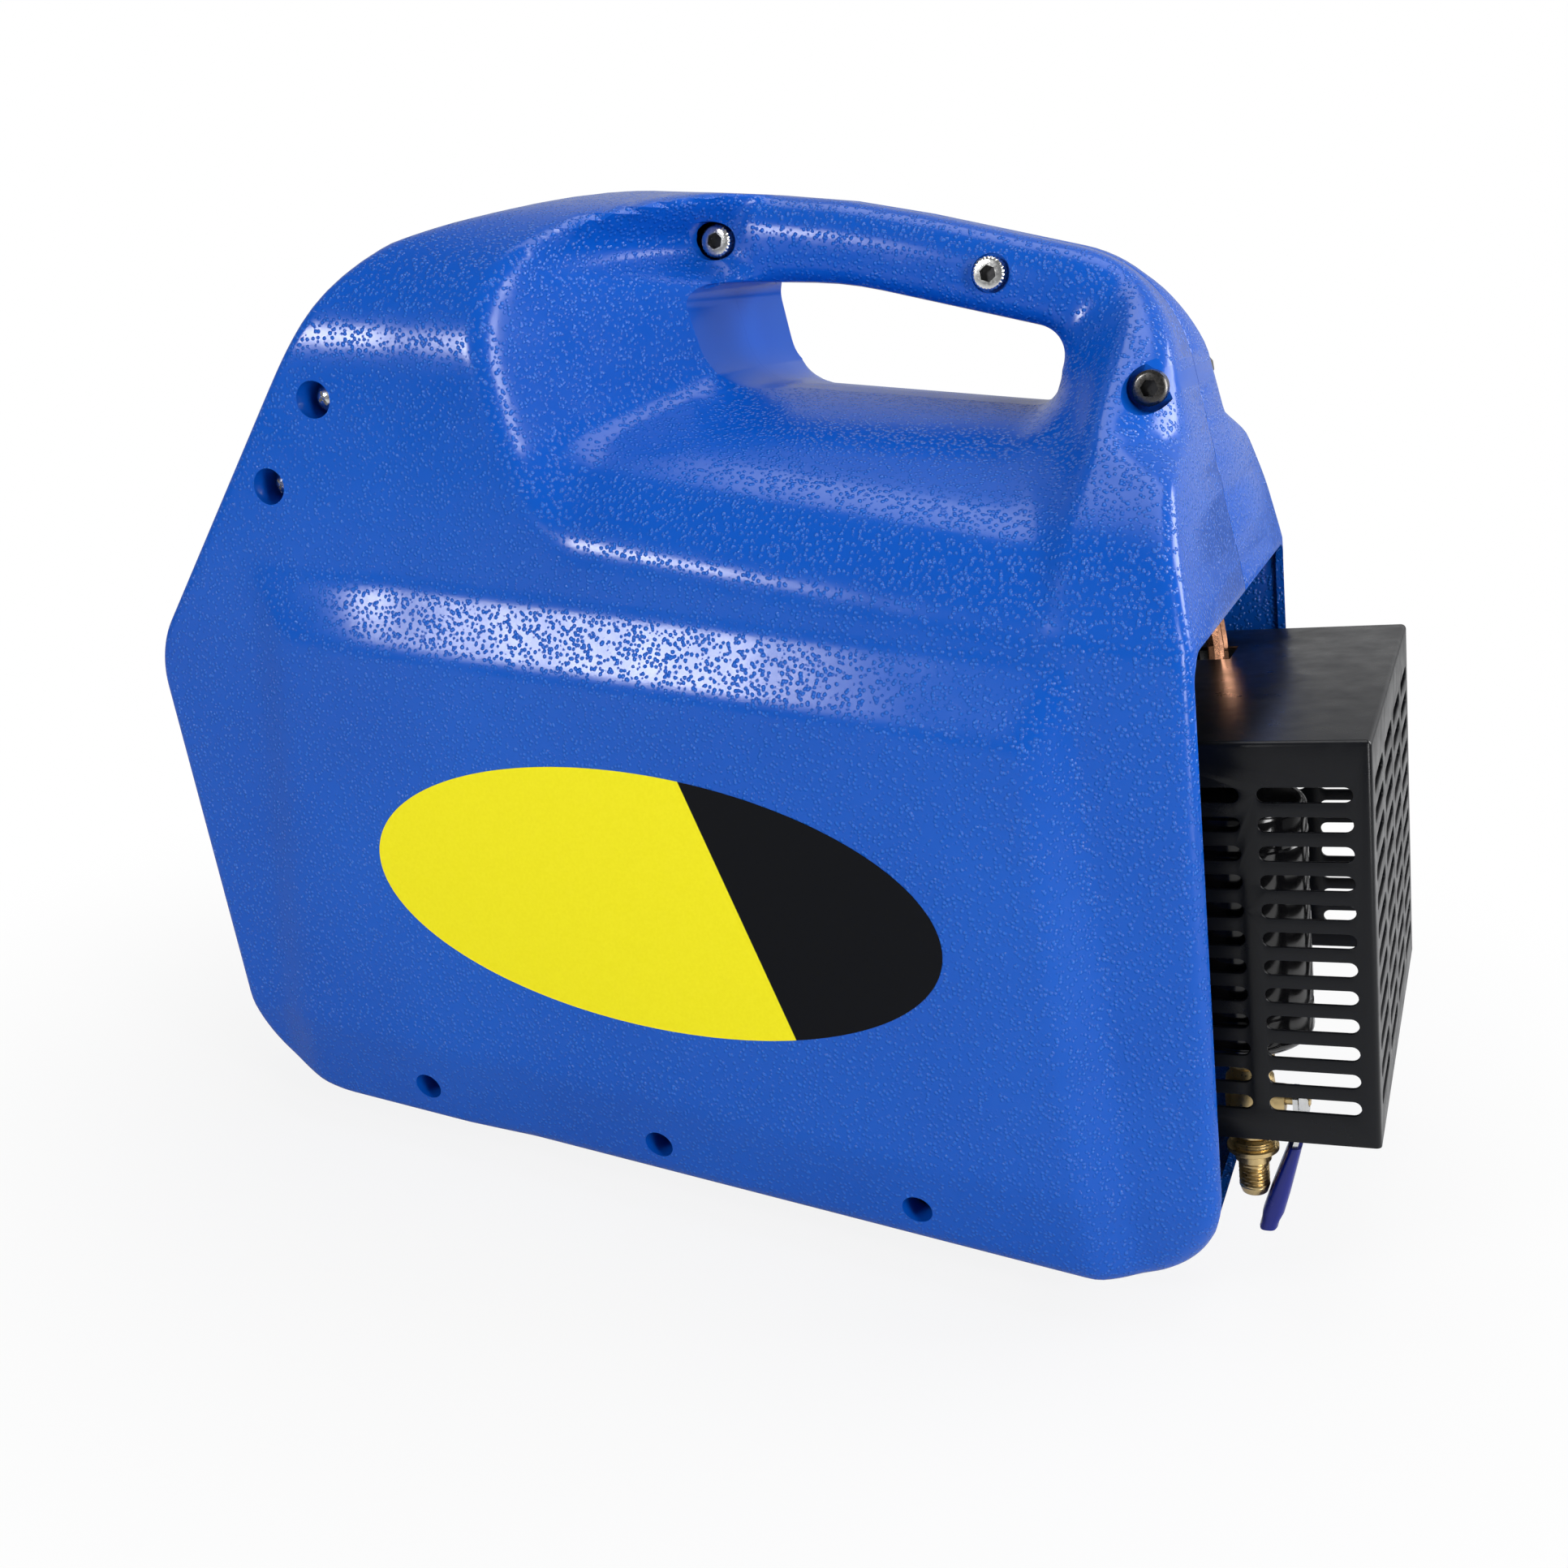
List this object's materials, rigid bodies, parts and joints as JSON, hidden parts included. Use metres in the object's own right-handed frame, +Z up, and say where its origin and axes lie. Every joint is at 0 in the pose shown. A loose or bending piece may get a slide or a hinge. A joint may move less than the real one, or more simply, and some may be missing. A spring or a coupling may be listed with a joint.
{
  "type": "refrigerant recovery machine",
  "caption": "Portable refrigerant recovery machine: moulded case with a hand hole, gauges and a knob on the front, a slotted guard box with a filter and ball valve behind.",
  "frame": {"origin": "middle of the rectangle under the machine, on the surface that its feet stand on", "axes": "+Z up, +X towards the end with the guard box and the filter, -Y the side with the inlet line"},
  "size_m": [0.4771, 0.25, 0.3748],
  "materials": {
    "case_blue": "moulded, fine pebble grain, semi-gloss",
    "black_powder_coat": "satin powder coat",
    "zinc_plate": "bright zinc plate",
    "dark_steel": "black oxide",
    "steel": "plain sheet",
    "aluminium": "cast and finned",
    "brass": "machined",
    "copper": "drawn copper tube",
    "gloss_black": "gloss enamel",
    "rubber": "moulded",
    "blue_vinyl": "dipped vinyl",
    "clear_lens": "clear",
    "needle_blue": "painted",
    "red_plastic": "moulded",
    "black_plastic": "moulded"
  },
  "bodies": {
    "machine": {"near_shell": "case_blue", "far_shell": "case_blue", "handle_bolt_1": "zinc_plate", "handle_bolt_2": "zinc_plate", "handle_nut_1": "zinc_plate", "handle_nut_2": "zinc_plate", "rear_bolt": "dark_steel", "rear_nut": "dark_steel", "panel_screw_near_1": "zinc_plate", "panel_screw_near_2": "zinc_plate", "panel_screw_far_1": "zinc_plate", "panel_screw_far_2": "zinc_plate", "base_screw_1": "dark_steel", "base_screw_2": "dark_steel", "base_screw_3": "dark_steel", "base_screw_4": "dark_steel", "base_screw_5": "dark_steel", "base_screw_6": "dark_steel", "base_plate": "steel", "foot_1": "rubber", "foot_2": "rubber", "foot_3": "rubber", "foot_4": "rubber", "guard_box": "black_powder_coat", "fan_shroud": "black_powder_coat", "fan_motor": "steel", "condenser": "aluminium", "filter_drier": "gloss_black", "drier_union": "brass", "ball_valve": "brass", "flare_port": "brass", "copper_tube_1": "copper", "copper_tube_2": "copper", "front_panel": "black_powder_coat", "low_gauge_case": "black_plastic", "low_gauge_lens": "clear_lens", "high_gauge_case": "black_plastic", "high_gauge_lens": "clear_lens", "mode_valve": "brass", "lower_panel": "black_powder_coat", "power_inlet": "black_plastic", "switch_frame": "black_plastic", "breaker_body": "black_plastic", "outlet_port": "brass", "compressor_block": "aluminium", "cylinder_head_near": "aluminium", "cylinder_head_far": "aluminium", "drive_motor": "steel", "control_box": "black_plastic", "pressure_switch": "brass"},
    "valve_lever": {"valve_stem": "brass", "valve_lever": "zinc_plate", "lever_nut": "zinc_plate", "lever_sleeve": "blue_vinyl"},
    "fan": {"fan": "black_plastic"},
    "mode_knob": {"mode_knob": "black_plastic"},
    "low_needle": {"low_gauge_needle": "needle_blue"},
    "high_needle": {"high_gauge_needle": "red_plastic"},
    "power_switch": {"power_switch": "red_plastic"},
    "reset_button": {"reset_button": "red_plastic"}
  },
  "joints": [
    {"name": "valve_turn", "type": "hinge", "parent": "machine", "child": "valve_lever", "pos_m": [0.20796, -0.064, 0.07503], "axis": [0.9872, 0, 0.1596], "range_deg": [0, 90]},
    {"name": "fan_spin", "type": "hinge", "parent": "machine", "child": "fan", "pos_m": [0.12958, 0, 0.13124], "axis": [0.9872, 0, 0.1596], "continuous": true},
    {"name": "mode_turn", "type": "hinge", "parent": "machine", "child": "mode_knob", "pos_m": [-0.21658, 0, 0.24679], "axis": [-0.8638, 0, 0.5039], "range_deg": [-90, 90]},
    {"name": "low_needle_turn", "type": "hinge", "parent": "machine", "child": "low_needle", "pos_m": [-0.19182, 0.04901, 0.26939], "axis": [-0.8638, 0, 0.5039], "range_deg": [-270, 0], "stiffness_Nm_per_rad": 0.0004, "springref_deg": 20.05},
    {"name": "high_needle_turn", "type": "hinge", "parent": "machine", "child": "high_needle", "pos_m": [-0.19182, -0.04901, 0.26939], "axis": [-0.8638, 0, 0.5039], "range_deg": [-270, 0], "stiffness_Nm_per_rad": 0.0004, "springref_deg": 20.05},
    {"name": "power_rock", "type": "hinge", "parent": "machine", "child": "power_switch", "pos_m": [-0.2221, 0.056, 0.14082], "axis": [-0.2237, 0, 0.9747], "range_deg": [-16, 0]},
    {"name": "reset_press", "type": "slide", "parent": "machine", "child": "reset_button", "axis": [0.9747, 0, 0.2237], "range_m": [0, 0.003], "stiffness_N_per_m": 300, "springref_m": -0.002}
  ]
}
